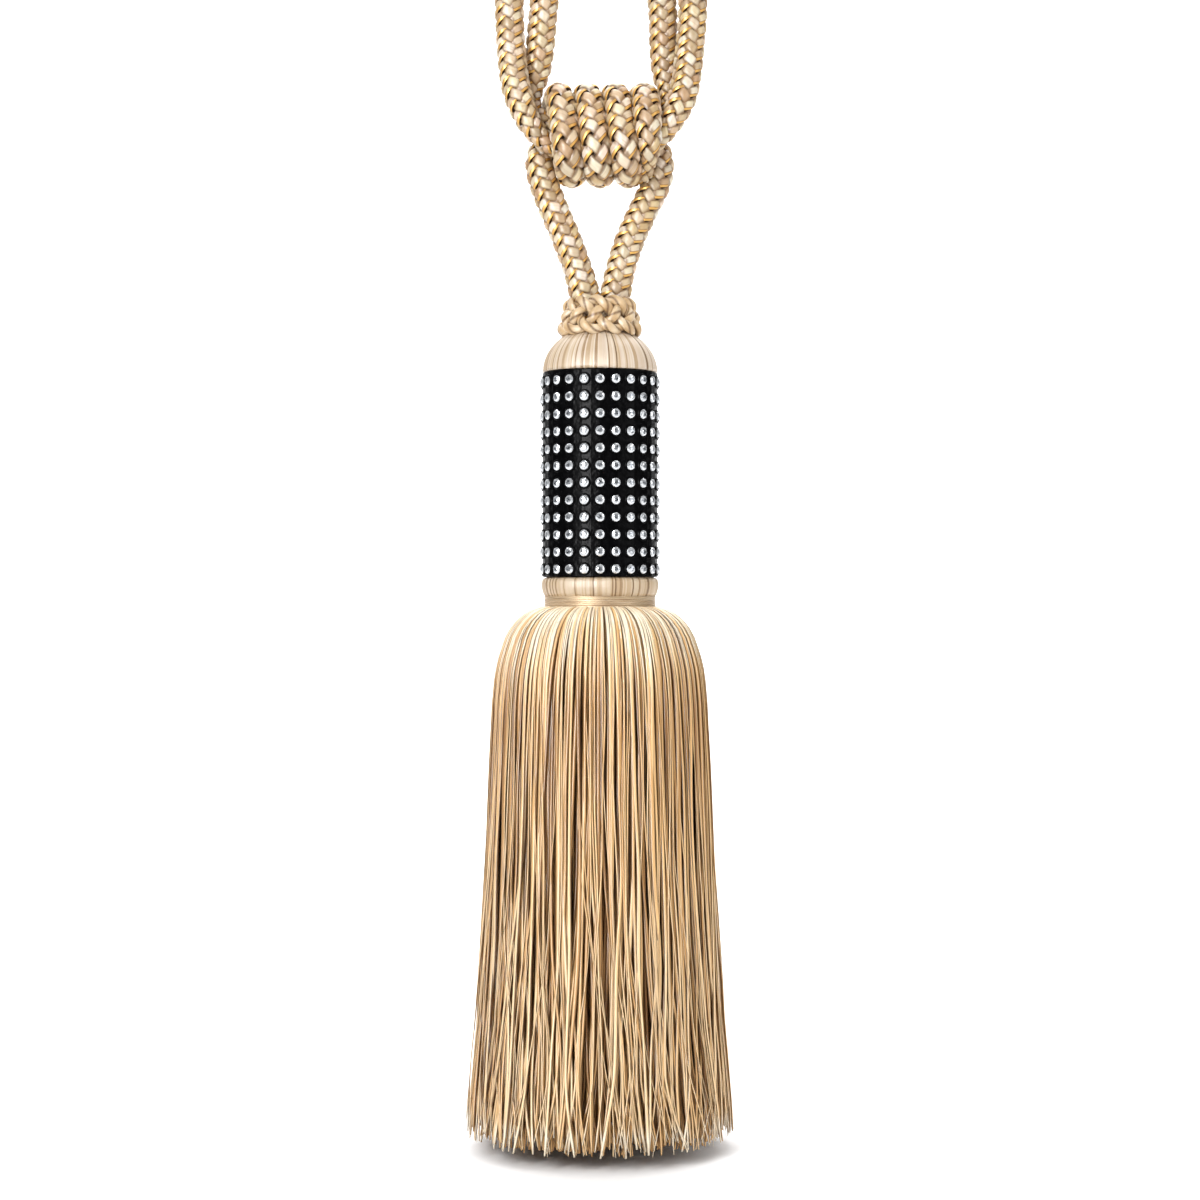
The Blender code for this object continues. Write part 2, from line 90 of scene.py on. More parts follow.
# Rope routes, as in the part's source: columns are x, depth, drop and rope radius, in millimetres.
TIEBACK_ROUTE = (
    (0.0, -4.0, 140.2, 3.3), (9.3, -4.0, 140.2, 3.3), (14.8, -4.1, 139.6, 3.3), (18.8, -4.8, 137.4, 3.3),
    (22.0, -5.8, 133.8, 3.7), (24.6, -6.5, 129.6, 4.1), (27.0, -5.9, 124.4, 4.5), (28.5, -4.5, 118.3, 4.6),
    (29.3, -3.3, 112.0, 4.6), (29.9, -2.3, 106.3, 4.6), (30.6, -1.4, 98.5, 4.6), (30.9, -0.6, 90.5, 4.6),
    (30.4, 0.6, 81.5, 4.6), (27.7, 2.2, 71.0, 4.6), (23.2, 3.6, 55.0, 4.6), (18.1, 4.7, 40.5, 4.6),
    (16.2, 4.9, 29.6, 4.6), (15.8, 4.9, 17.4, 4.6), (13.0, 4.9, 4.1, 4.6), (8.0, 4.9, -2.3, 4.6),
    (0.0, 4.9, -4.7, 4.6), (-8.0, 4.9, -2.3, 4.6), (-13.4, 4.9, 5.5, 4.6), (-13.0, 4.9, 14.7, 4.6),
    (-5.4, 4.9, 26.2, 4.6), (2.6, 4.9, 35.4, 4.6), (8.8, 4.8, 44.7, 4.6), (13.7, 4.2, 58.3, 4.6),
    (18.1, 3.1, 74.4, 4.6), (20.7, 1.7, 90.5, 4.6), (21.1, 2.2, 98.5, 4.6), (21.4, 2.9, 106.5, 4.6),
    (21.9, 3.4, 113.6, 4.4), (22.8, 3.2, 119.4, 3.6), (23.0, 2.2, 124.0, 3.1), (21.6, 0.7, 128.0, 3.1),
    (18.6, -0.2, 130.4, 3.2), (14.8, -0.3, 130.9, 3.3), (9.3, -0.3, 130.9, 3.3), (0.0, -0.3, 130.9, 3.3),
    (-9.3, -0.3, 130.9, 3.3), (-14.8, -0.3, 130.9, 3.3), (-18.6, -0.2, 130.4, 3.2), (-21.6, 0.7, 128.0, 3.1),
    (-23.0, 2.2, 124.0, 3.1), (-22.7, 3.1, 119.4, 3.5), (-21.3, 3.3, 113.6, 4.4), (-20.2, 2.6, 106.7, 4.6),
    (-19.4, 1.7, 98.7, 4.6), (-18.6, 0.6, 90.5, 4.6), (-16.7, -1.3, 74.4, 4.6), (-13.0, -3.2, 58.3, 4.6),
    (-8.8, -4.6, 44.7, 4.6), (-2.6, -4.9, 35.4, 4.6), (5.4, -4.9, 26.2, 4.6), (13.0, -4.9, 14.7, 4.6),
    (13.4, -4.9, 5.5, 4.6), (8.0, -4.9, -2.3, 4.6), (0.0, -4.9, -4.7, 4.6), (-8.0, -4.9, -2.3, 4.6),
    (-13.0, -4.9, 4.1, 4.6), (-15.8, -4.9, 17.4, 4.6), (-16.2, -4.9, 29.6, 4.6), (-18.1, -4.9, 40.5, 4.6),
    (-23.0, -4.4, 55.0, 4.6), (-27.3, -3.5, 71.0, 4.6), (-29.7, -2.4, 81.5, 4.6), (-30.2, -1.7, 90.5, 4.6),
    (-30.0, -1.9, 98.5, 4.6), (-29.6, -2.4, 106.7, 4.6), (-29.0, -3.3, 112.6, 4.6), (-28.2, -4.5, 118.8, 4.6),
    (-26.8, -5.9, 124.2, 4.5), (-24.7, -6.5, 129.6, 4.1), (-22.2, -5.8, 133.8, 3.7),
    (-18.8, -4.8, 137.4, 3.3), (-14.8, -4.1, 139.6, 3.3), (-9.3, -4.0, 140.2, 3.3),
)
HANGING_ROUTE = (
    (-3.7, 0.0, 200.2, 3.4), (-3.7, 0.0, 196.5, 3.4), (-3.7, 0.0, 193.8, 4.2), (-4.2, 0.0, 191.2, 4.6),
    (-5.0, 0.0, 188.6, 4.9), (-7.1, 0.0, 180.8, 4.75), (-10.8, 0.0, 170.6, 4.75), (-15.3, 0.2, 160.0, 4.75),
    (-18.4, 0.6, 152.0, 4.75), (-20.2, 1.2, 146.0, 4.5), (-20.3, 2.1, 141.7, 4.0), (-18.8, 3.3, 138.2, 3.5),
    (-15.3, 3.9, 136.8, 3.3), (-9.3, 4.0, 137.2, 3.3), (0.0, 4.0, 137.2, 3.3), (9.3, 4.0, 137.2, 3.3),
    (15.2, 3.9, 136.8, 3.3), (18.6, 3.3, 138.2, 3.5), (20.0, 2.3, 141.7, 4.0), (20.1, 1.9, 146.6, 4.4),
    (18.1, 1.1, 152.6, 4.7), (14.5, 0.2, 160.0, 4.75), (9.7, 0.0, 170.6, 4.75), (6.6, 0.0, 180.8, 4.75),
    (5.0, 0.0, 188.6, 4.9), (4.2, 0.0, 191.2, 4.6), (3.7, 0.0, 193.8, 4.2), (3.7, 0.0, 196.5, 3.4),
    (3.7, 0.0, 200.2, 3.4),
)

# Coil: depth and drop of the three strands that it is pulled tight around.
KNOT_STRANDS = np.array([(-4.0, 140.2), (-0.3, 130.9), (4.0, 137.2)])
COIL_REACH = 8.28  # mm from a strand's centre to the coil's
COIL_PITCH = 9.42
COIL_FIRST_TOP = -13.9  # x where its first turn is highest
COIL_RADIUS = 4.68
COIL_STEPS = 18  # steps a turn
COIL_RANGE = (-6, 55)  # first and last step of its even turns
# Its last turn, tucked under: columns as in the routes.
COIL_TAIL = (
    (15.2, -8.1, 127.2, 4.7), (15.4, -10.9, 131.2, 4.6), (15.8, -12.2, 135.8, 4.3), (16.2, -11.7, 140.2, 3.8),
    (16.2, -9.9, 143.4, 3.0), (16.0, -8.0, 144.9, 2.5), (15.5, -5.0, 147.6, 2.2), (14.4, -1.5, 149.9, 2.0),
)

# Collar: a four-lead Turk's head of two-ply satin cord.
COLLAR_DROP = 195.9
COLLAR_RADIUS = 11.25
COLLAR_HEIGHT = 12.2
COLLAR_LEADS = 4
COLLAR_BIGHTS = 11
COLLAR_SWING = 1.05  # mm that the cord swings out and in at a crossing
COLLAR_LEAN = 1.25  # mm that the collar's top leans in and its foot out
# Columns are degrees along a run from edge to edge, and swing out. Every second run swings the other way.
COLLAR_CROSSINGS = ((0, 0.0), (45, 1.0), (90, -1.0), (135, 1.0))
COLLAR_CORD = (1.6, 1.1)  # half width and half thickness
COLLAR_CORD_LAY = 5.0  # mm of cord in which its plies go once round
COLLAR_GROOVE = 0.76  # the cord's size between its plies, as a share of the whole
COLLAR_PLY_RISE = 0.28  # what a ply's crown adds to that
COLLAR_STEP = 0.4
COLLAR_SIDES = 14
COLLAR_TONE = 0.55
COLLAR_TONE_RANGE = 0.35
COLLAR_TONE_WAVES = (900, 370)  # radians a metre

# Head, in millimetres of radius and drop: a dome, a waist that the sleeve hides, and a roll.
DOME_FOOT = 214.1
DOME_HEIGHT = 15.4
DOME_STEPS = 16
HEAD_TOP = 200.9
HEAD_RADIUS = 19.1
HOLE_RADIUS = 0.3  # hidden by the collar and the skirt
WAIST_RADIUS = 17.8
WAIST_TOP = 214.25
WAIST_FOOT = 282.6
ROLL = ((18.6, 282.7), (19.2, 283.3), (19.45, 284.4), (19.4, 286.0), (19.0, 287.6), (18.3, 288.9))
YARNS_ROUND_HEAD = 230
YARN_COLUMNS = 4  # vertices across one yarn
YARN_RISE = 0.10
YARN_RISES = (0.5, 1.3)  # range, as shares of that
FULL_RISE_RADIUS = 10  # where yarns reach that rise
PALE_YARN_TONES = (0.50, 1.0)
DARK_YARN_TONES = (0.05, 0.42)
DARK_YARNS = {"dome": 0.10, "roll": 0.18}  # shares of all yarns
# Painted shade: the roll's yarns are squeezed into darker tones than the dome's, as the roll lies in shade.
ROLL_SHADE_TONE = 0.02
ROLL_SHADE_TONE_RANGE = 0.68
# Darker yarns on the dome's front: columns are degrees from the front, half width in degrees, and tone.
DOME_STRIPES = (
    (-71, 2.0, 0.36), (-55, 0.8, 0.25), (-40, 1.6, 0.32), (-26, 1.0, 0.20), (-13, 2.6, 0.36), (-4, 1.5, 0.22),
    (9, 0.9, 0.14), (16, 0.9, 0.05), (27, 0.8, 0.30), (39, 2.4, 0.33), (55, 1.2, 0.10), (66, 1.6, 0.34),
)

# Sleeve stones, in straight columns and rows.
STONE_COLUMNS = 23
STONE_ROWS = 12
FIRST_STONE_DROP = 217.7
STONE_PITCH = 5.653
SLEEVE_RADIUS = 19.1
STONE_RADIUS = 1.52
# Sections of a stone and of its cup: columns are radius and height over the sleeve, in mm, and a stone's
# corners there.
STONE_RINGS = ((0.62, 1.05, 8), (0.98, 0.95, 8), (1.38, 0.66, 16), (1.52, 0.36, 16), (1.40, 0.05, 16))
STONE_TIP = 0.02  # mm that a stone's middle stands over its first ring
CUP_SECTION = ((2.25, -0.15), (2.12, 0.22), (1.86, 0.44), (1.62, 0.42), (1.50, 0.20), (1.46, 0.02))
CUP_SIDES = 20
# Painted reflections of facets: columns are share of the stone's radius, and brightness from there outwards.
STONE_RIM = 0.62
STONE_PAINTED_SHINE = ((0.0, 0.42), (0.45, 0.62), (STONE_RIM, 0.95))
STONE_PAINTED_GLINT = (-0.42, 0.32)  # by which facets inside the rim differ

BINDING_TOP = 288.7
BINDING_FOOT = 292.5
BINDING_WRAPS = 6
BINDING_RADIUS = 18.3
BINDING_SIDES = 120
BINDING_TUCK = 1.2  # mm that its two edges turn in
WRAP_STEPS = 6
WRAP_RISE = 0.28

# Skirt outline: columns are drop and radius of its outermost strands, in millimetres.
SKIRT_OUTLINE = np.array([
    (291.8, 15.6), (292.5, 19.6), (293.4, 22.6), (295.2, 25.9), (298.0, 28.9),
    (302.0, 31.2), (308.0, 33.3), (314.0, 34.7), (323.3, 35.6), (343.3, 36.6),
    (376.7, 38.0), (403.3, 39.6), (430.0, 41.2), (456.7, 43.9), (467.0, 44.6),
])
HEM_DROP = 467.0
OUTLINE_ROOM = 0.5  # mm that strands may hang outside the outline
HEM_ROOM = 1.5  # mm that strands may hang below the hem
# Layers of the skirt, in millimetres. Bends and sides are those of one strand, depths, half widths and tones
# are ranges, stray is how far strands stray at the hem, and uneven is how unevenly they end. Tones differ at
# random within a layer, and deeper layers have darker ones as painted shade.
SkirtLayer = namedtuple("SkirtLayer", "name strands bends sides depths half_widths stray tones uneven")
SKIRT_LAYERS = (
    SkirtLayer("skirt_inner", 450, 22, 4, (5.0, 13.0), (1.0, 1.5), 4.0, (0.06, 0.24), 4.0),
    SkirtLayer("skirt_middle", 400, 36, 4, (2.2, 5.2), (0.48, 0.76), 6.0, (0.06, 0.52), 6.0),
    SkirtLayer("skirt_outer", 225, 44, 6, (0.2, 1.8), (0.43, 0.74), 7.5, (0.30, 0.90), 6.0),
    SkirtLayer("skirt_wisps", 140, 44, 4, (-0.3, 1.0), (0.20, 0.36), 10.0, (0.62, 0.96), 6.0),
)
SKIRT_SEED = 20
SKIRT_CLUMPS = 64
CLUMP_UNEVENNESS = 0.25  # share of its room that a clump is off its even place

# How a strand hangs and looks: columns are share of the way down the skirt, and amount.
INSIDE = ((0.0, 0.35), (0.65, 1.0))  # how far it is at its own depth
GATHER = ((0.0, 0.0), (0.3, 1.0), (0.55, 1.0), (1.0, 0.0))  # how far it is drawn to its clump
HANG = ((0.06, 0.0), (1.0, 1.0))  # how free it is to sway and lean
SPLAY = ((0.40, 0.0), (1.0, 1.0))  # how far it has left its place
FLICK = ((0.86, 0.0), (1.0, 1.0))  # how far its end turns aside
TAPER = ((0.6, 1.0), (1.0, 0.75))  # its width
# Painted highlight on the shoulder, turning to painted shade below it.
SHOULDER_HIGHLIGHT = ((0.03125, 0.46), (0.234375, -0.138))
# Paler lower down the skirt.
LOWER_TONE = ((0.27, 0.0), (0.82, 0.38))
TIP_TONE = ((0.94, 0.0), (0.98, 0.18))
# The same, with millimetres along the strand in the first column.
LEAVE_NECK = ((0.0, 0.0), (12.0, 1.0))  # how far it is at its own depth, near its top
FILL_OUT = ((0.0, 0.5), (8.0, 1.0))  # its width, near its top
SAG_STARTS = ((0.0, 0.0), (8.0, 1.0))
SAG_ENDS = ((0.0, 1.0), (40.0, 0.0))
# Smooth random waves: columns are bends from end to end, and size.
SWAY_WAVES = ((2, 0.30), (7, 0.09))  # aside, as shares of the layer's stray
LEAN_WAVES = ((3, 0.5), (7, 0.3))  # in and out, in mm
WIDTH_WAVES = ((6, 0.18),)  # shares of the strand's width
END_RANGE = (-1.0, 0.15)  # how far past the outline's foot a strand ends, in shares of uneven
BEND_CROWDING = 1.2  # above 1, bends are closer near a strand's top
SAG_SHARE = 0.3  # share of its depth that a strand sags on the shoulder
MOST_GATHER = 0.5
SPLAY_SHARE = 0.75
SPLAY_POWER = 1.6
FLICK_REACH = 3.0  # mm
FLICK_POWER = 1.5
LEAST_SWAY_RADIUS = 8.0
STRAND_FLATNESS = 0.65
STRAND_TURN = 0.4  # most radians that a section is turned by
STRAND_TIP = 0.6  # the width of its end, as a share of its own
PALEST_TONE = 1.03
FIBRE_OFFSET = 50  # spreads the strands' fibres over the noise

# Stage: a floor that curves up into a backdrop, in metres.
FLOOR_DROP = 471.7 * MM
STAGE_FRONT = -1.6
STAGE_BACK = 1.5
STAGE_HALF_WIDTH = 2.5
STAGE_TOP = 3.0
STAGE_CURVE = 0.6
STAGE_STEPS = 12

# Soft lights: columns are name, place, aim, size (metres), watts, and whether it only makes highlights.
LIGHTS = (
    ("key", (-0.62, -0.95, 0.50), (0.0, 0.0, -0.25), (0.5, 0.9), 16.0, False),
    ("strip", (-0.52, -0.95, -0.15), (0.0, 0.0, -0.25), (0.2, 0.8), 34.0, True),
    ("fill", (1.0, -0.6, 0.1), (0.0, 0.0, -0.25), (0.6, 0.9), 6.5, False),
    ("overhead", (0.0, 0.6, 1.1), (0.0, 0.6, -0.5), (1.6, 1.3), 22.0, False),
    ("backdrop_light", (0.0, 0.5, 0.8), (0.0, 1.5, -0.2), (2.0, 0.4), 22.0, False),
)
WORLD_BRIGHTNESS = 0.13


def along(points, closed=False):
    """Distance along a line at each of its points, and once more at its start where it is closed."""
    if closed:
        points = np.vstack([points, points[:1]])
    return np.concatenate([[0.0], np.cumsum(np.linalg.norm(np.diff(points[:, :3], axis=0), axis=1))])


def line_at(time, start_time, start, end_time, end):
    """Where a straight, even run from start to end is at a time."""
    return start + (end - start) * (time - start_time) / (end_time - start_time)


def route(rows, closed=False, step=0.5 * MM):
    """Close points (x, y, z, radius) on a smooth curve through rows in millimetres.

    Each stretch blends the straight runs before, along and after it, timed by the roots of their lengths.
    """
    knots = np.array(rows) * (MM, MM, -MM, MM)
    if closed:
        corners = np.vstack([knots[-1], knots, knots[:2]])
    else:
        corners = np.vstack([2 * knots[0] - knots[1], knots, 2 * knots[-1] - knots[-2]])
    stretches = []
    for a, b, c, d in zip(corners, corners[1:], corners[2:], corners[3:]):
        runs = ((a, b), (b, c), (c, d))
        times = np.cumsum([0.0] + [math.sqrt(np.linalg.norm(q[:3] - p[:3])) for p, q in runs])
        count = max(2, round(np.linalg.norm(c[:3] - b[:3]) / step))
        t = np.linspace(times[1], times[2], count, endpoint=False)[:, None]
        sides = [line_at(t, times[k], p, times[k + 1], q) for k, (p, q) in enumerate(runs)]
        bends = [line_at(t, times[k], sides[k], times[k + 2], sides[k + 1]) for k in range(2)]
        stretches.append(line_at(t, times[1], bends[0], times[2], bends[1]))
    if not closed:
        stretches.append(knots[-1:])
    return np.vstack(stretches)


def evenly(points, count, closed=False):
    """The same line at even distances. A closed line's first point comes again as its last."""
    run = along(points, closed)
    if closed:
        points = np.vstack([points, points[:1]])
    places = np.linspace(0.0, run[-1], count)
    return np.stack([np.interp(places, run, column) for column in points.T], axis=1)


def unit(vectors):
    """The same directions, each of length 1."""
    return vectors / np.linalg.norm(vectors, axis=-1, keepdims=True)


def directions(points, facing, closed=False):
    """Along a line, at each point: forward, outward (square to the line, nearest to facing) and aside."""
    if closed:
        loop = np.vstack([points[-2:-1], points, points[1:2]])
        forward = unit(loop[2:, :3] - loop[:-2, :3])
    else:
        forward = unit(np.gradient(points[:, :3], axis=0))
    facing = np.broadcast_to(facing, forward.shape)
    outward = unit(facing - forward * np.sum(facing * forward, axis=1, keepdims=True))
    return forward, outward, np.cross(forward, outward)


def stacked(*parts):
    """Arrays or numbers, broadcast together, along the last axis of one array."""
    return np.stack(np.broadcast_arrays(*parts), axis=-1)


def turned(radius, angle, height):
    """Points (x, y, z) at a radius and angle round the z axis."""
    return stacked(radius * np.cos(angle), radius * np.sin(angle), height)


def off_line(outward, aside, out, side):
    """Vectors from each place on a line to the points round it: how far each lies outward and aside."""
    return outward[..., None, :] * out[..., None] + aside[..., None, :] * side[..., None]


def read_rows(rows, places):
    """Amounts at places, from a table's rows (place, amount): even between rows, and level past the ends."""
    return np.interp(places, *zip(*rows))


def grid_quads(rows, columns, around=False, grids=1):
    """Quads of one or more grids of vertices, each rows by columns. The columns may close up into a ring."""
    strips = columns if around else columns - 1
    row, column = np.meshgrid(np.arange(rows - 1), np.arange(strips), indexing="ij")
    after = (column + 1) % columns
    here = row * columns
    below = (row + 1) * columns
    quads = np.stack([here + column, here + after, below + after, below + column], axis=-1)
    starts = np.arange(grids) * rows * columns
    return (quads.reshape(1, -1, 4) + starts[:, None, None]).reshape(-1, 4)


def add_mesh(name, points, faces, material, attributes=None, smooth=True):
    """A mesh from arrays. Attributes are numbers or vectors, one for each vertex."""
    points = np.ascontiguousarray(points, np.float32).reshape(-1, 3)
    faces = np.ascontiguousarray(faces, np.int32)
    mesh = bpy.data.meshes.new(name)
    mesh.vertices.add(len(points))
    mesh.vertices.foreach_set("co", points.ravel())
    mesh.loops.add(faces.size)
    mesh.loops.foreach_set("vertex_index", faces.ravel())
    mesh.polygons.add(len(faces))
    mesh.polygons.foreach_set("loop_start", np.arange(len(faces), dtype=np.int32) * faces.shape[1])
    for key, values in (attributes or {}).items():
        values = np.ascontiguousarray(values, np.float32)
        if values.size == len(points):
            mesh.attributes.new(key, "FLOAT", "POINT").data.foreach_set("value", values.ravel())
        else:
            mesh.attributes.new(key, "FLOAT_VECTOR", "POINT").data.foreach_set("vector", values.ravel())
    mesh.update(calc_edges=True)
    mesh.validate()
    if smooth:
        mesh.shade_smooth()
    mesh.materials.append(material)
    obj = bpy.data.objects.new(name, mesh)
    bpy.context.scene.collection.objects.link(obj)
    return obj


def join_mesh(obj, points, faces, material):
    """Adds more faces, in a material of their own, to a mesh object."""
    extra = add_mesh("extra", points, faces, material)
    with bpy.context.temp_override(active_object=obj, selected_editable_objects=[obj, extra]):
        bpy.ops.object.join()


def finish_piece(obj, node_name):
    """The piece stands in for a CAD node, if one is named, and moves with the one body."""
    if node_name:
        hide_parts(node_name)
    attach(obj, "root")


def new_material(name, sockets):
    """A material whose shader has the named sockets set. Returns it, its node tree and that shader."""
    material = bpy.data.materials.new(name)
    material.use_nodes = True
    shader = material.node_tree.nodes["Principled BSDF"]
    for socket, value in sockets.items():
        shader.inputs[socket].default_value = value
    return material, material.node_tree, shader


def paint(tree, shader, colour):
    """Gives the shader its colour."""
    tree.links.new(colour, shader.inputs["Base Color"])


def node(tree, kind, inputs=None, output=0, **settings):
    """One output of a new shader node. Inputs are values or other nodes' outputs."""
    made = tree.nodes.new("ShaderNode" + kind)
    for key, value in settings.items():
        setattr(made, key, value)
    for socket, value in (inputs or {}).items():
        if isinstance(value, bpy.types.NodeSocket):
            tree.links.new(value, made.inputs[socket])
        else:
            made.inputs[socket].default_value = value
    return made.outputs[output]


def attribute(tree, name, output="Fac"):
    """A mesh attribute's number, or its vector."""
    return node(tree, "Attribute", attribute_name=name, output=output)


def maths(tree, operation, a, b=0.0, c=0.0):
    """The result of a Math node."""
    return node(tree, "Math", {0: a, 1: b, 2: c}, operation=operation)


def blend(tree, factor, a, b, kind="MIX"):
    """Colour a with colour b over it, as far as factor says."""
    return node(tree, "MixRGB", {"Fac": factor, "Color1": a, "Color2": b}, blend_type=kind)


def steps(tree, value, low, high):
    """0 below low, 1 above high and a smooth rise between them."""
    return node(tree, "MapRange", {0: value, 1: low, 2: high}, interpolation_type="SMOOTHSTEP")


def stain(tree, under, value, low, high, share, colour):
    """A colour laid over another, from nothing where value is low up to share where it is high."""
    return blend(tree, maths(tree, "MULTIPLY", steps(tree, value, low, high), share), under, (*colour, 1.0))


def ramp(tree, factor, stops):
    """A colour ramp: stops are (place, (red, green, blue))."""
    made = tree.nodes.new("ShaderNodeValToRGB")
    elements = made.color_ramp.elements
    for k, (place, colour) in enumerate(stops):
        element = elements[k] if k < len(elements) else elements.new(place)
        element.position = place
        element.color = (*colour, 1.0)
    tree.links.new(factor, made.inputs[0])
    return made.outputs[0]


def bump(tree, shader, height, distance, strength):
    """Fine relief in the shader's normal."""
    normal = node(tree, "Bump", {"Height": height, "Distance": distance, "Strength": strength})
    tree.links.new(normal, shader.inputs["Normal"])


def stretched_noise(tree, vector, scale, detail=3.0):
    """Noise over a vector whose axes are scaled one by one."""
    placed = node(tree, "Mapping", {0: vector, "Scale": scale})
    return node(tree, "TexNoise", {"Vector": placed, "Scale": 1.0, "Detail": detail}, output="Fac")


def grain(tree, scale):
    """Even noise all over an object."""
    return stretched_noise(tree, node(tree, "TexCoord", output="Object"), (scale, scale, scale), detail=2.0)


def yarn_material(name, sockets, tones, fibre_scale, fibre_stain, relief):
    """Yarn whose tone is its tone attribute, with fine fibres along it.

    Returns the material, its node tree and shader, and the yarn's colour for more to be laid over.
    """
    material, tree, shader = new_material(name, sockets)
    fibres = stretched_noise(tree, attribute(tree, "weave", "Vector"), fibre_scale)
    bump(tree, shader, fibres, *relief)
    body = ramp(tree, attribute(tree, "tone"), tones)
    return material, tree, shader, stain(tree, body, fibres, *fibre_stain)


def rope_material():
    """Satin yarn, with a gold thread along the lower edge of each right-hand stitch.

    The weave attribute holds place across the carrier, distance along it in metres, and 1 where it has gold.
    The dip attribute is 0 on a stitch's crown and 1 where the carrier passes under another; the yarn is
    painted darker there, as shade.
    """
    sockets = {"Roughness": 0.42, "Sheen Weight": 0.08, "Sheen Roughness": 0.4}
    material, tree, shader = new_material("braided_rope", sockets)
    weave = attribute(tree, "weave", "Vector")
    across, _, gold = (node(tree, "SeparateXYZ", {0: weave}, output=k) for k in range(3))
    tone = attribute(tree, "tone")
    yarn = ramp(tree, tone, (
        (0.0, (0.40, 0.265, 0.14)),
        (0.35, (0.55, 0.43, 0.275)),
        (0.7, (0.67, 0.575, 0.42)),
        (1.0, (0.78, 0.72, 0.605)),
    ))
    tint = ramp(tree, maths(tree, "FRACT", maths(tree, "MULTIPLY", tone, 7.3)), (
        (0.0, (1.0, 0.80, 0.72)),
        (0.3, (1.0, 0.97, 0.90)),
        (0.55, (1.0, 0.92, 0.68)),
        (0.8, (0.94, 0.97, 1.0)),
        (1.0, (1.0, 0.86, 0.82)),
    ))
    yarn = blend(tree, 0.8, yarn, tint, "MULTIPLY")
    fibres = stretched_noise(tree, weave, (5.0, 90.0, 9.0))
    yarn = stain(tree, yarn, fibres, 0.50, 0.72, 0.4, (0.42, 0.25, 0.10))
    # Painted shade: the yarn darkens where a carrier dips under another.
    colour = stain(tree, yarn, attribute(tree, "dip"), 0.12, 0.52, 0.85, (0.22, 0.11, 0.035))
    # Painted shade: each stitch darkens towards its edges, where it meets the next.
    colour = stain(tree, colour, maths(tree, "ABSOLUTE", across), 0.62, 0.92, 0.85, (0.16, 0.08, 0.028))
    edge = maths(tree, "MULTIPLY", across, gold)
    # Painted brown shadow, then the gold thread, then painted shade in the gap below it.
    for start, shade in EDGE_STROKES:
        colour = blend(tree, steps(tree, edge, start, start + STROKE_BLUR), colour, shade)
    gap_shade = steps(tree, edge, SHADED_GAP_START, SHADED_GAP_START + STROKE_BLUR)
    past_start = steps(tree, edge, THREAD_START, THREAD_START + STROKE_BLUR)
    thread = maths(tree, "MULTIPLY", past_start, maths(tree, "SUBTRACT", 1.0, gap_shade))
    # Less shine where the gap shade is painted.
    tree.links.new(maths(tree, "MULTIPLY_ADD", gap_shade, -0.45, 0.5), shader.inputs["Specular IOR Level"])
    paint(tree, shader, colour)
    tree.links.new(maths(tree, "MULTIPLY", thread, 0.5), shader.inputs["Metallic"])
    bump(tree, shader, fibres, 0.12 * MM, 0.6)
    return material


def shaded_core_material():
    """Painted shade: linty yarn deep in the rope, near-black so that the gaps between carriers look shaded."""
    material, tree, shader = new_material("rope_core", {"Roughness": 0.8})
    colour = ramp(tree, grain(tree, 900.0), ((0.3, (0.05, 0.025, 0.01)), (0.7, (0.13, 0.075, 0.03))))
    paint(tree, shader, colour)
    return material


def cord_material():
    """Two-ply satin cord. The ply attribute is 1 on a ply's crown and 0 in the groove between plies."""
    material, tree, shader, body = yarn_material(
        "satin_cord",
        {"Roughness": 0.38, "Sheen Weight": 0.1},
        tones=((0.0, (0.44, 0.26, 0.10)), (0.5, (0.62, 0.44, 0.24)), (1.0, (0.74, 0.61, 0.43))),
        fibre_scale=(7.0, 150.0, 1.0),
        fibre_stain=(0.5, 0.72, 0.4, (0.42, 0.25, 0.10)),
        relief=(0.1 * MM, 0.6),
    )
    # Painted shade: the groove between plies is darker.
    groove_shade = (0.17, 0.08, 0.025, 1.0)
    paint(tree, shader, blend(tree, steps(tree, attribute(tree, "ply"), 0.0, 0.6), groove_shade, body))
    return material


def head_material():
    """Yarn wound upright over the head, each yarn in a tone of its own."""
    material, tree, shader, body = yarn_material(
        "wound_yarn",
        {"Roughness": 0.33, "Sheen Weight": 0.08},
        tones=(
            (0.0, (0.11, 0.06, 0.025)),
            (0.2, (0.30, 0.185, 0.09)),
            (0.4, (0.49, 0.35, 0.21)),
            (0.6, (0.59, 0.47, 0.325)),
            (0.8, (0.61, 0.49, 0.38)),
            (1.0, (0.67, 0.585, 0.48)),
        ),
        fibre_scale=(1.4, 60.0, 1.0),
        fibre_stain=(0.55, 0.8, 0.3, (0.50, 0.34, 0.17)),
        relief=(0.08 * MM, 0.5),
    )
    paint(tree, shader, body)
    return material


def sleeve_material():
    """Glossy black plastic with small uneven bumps."""
    material, tree, shader = new_material("black_sleeve", {"Roughness": 0.30, "Specular IOR Level": 0.03})
    bumps = grain(tree, 520.0)
    colour = ramp(tree, bumps, ((0.35, (0.001, 0.001, 0.0012)), (0.7, (0.003, 0.003, 0.0035))))
    paint(tree, shader, colour)
    bump(tree, shader, bumps, 0.5 * MM, 0.5)
    return material


def stone_material():
    """Silver-backed clear stones. The facet attribute is each facet's painted reflection, as a brightness."""
    sockets = {"Roughness": 0.06, "Metallic": 0.55, "Coat Weight": 0.4, "Coat Roughness": 0.02}
    material, tree, shader = new_material("silvered_stone", sockets)
    colour = ramp(tree, attribute(tree, "facet"), (
        (0.0, (0.015, 0.018, 0.022)),
        (0.4, (0.28, 0.30, 0.33)),
        (1.0, (0.68, 0.70, 0.72)),
    ))
    paint(tree, shader, colour)
    return material


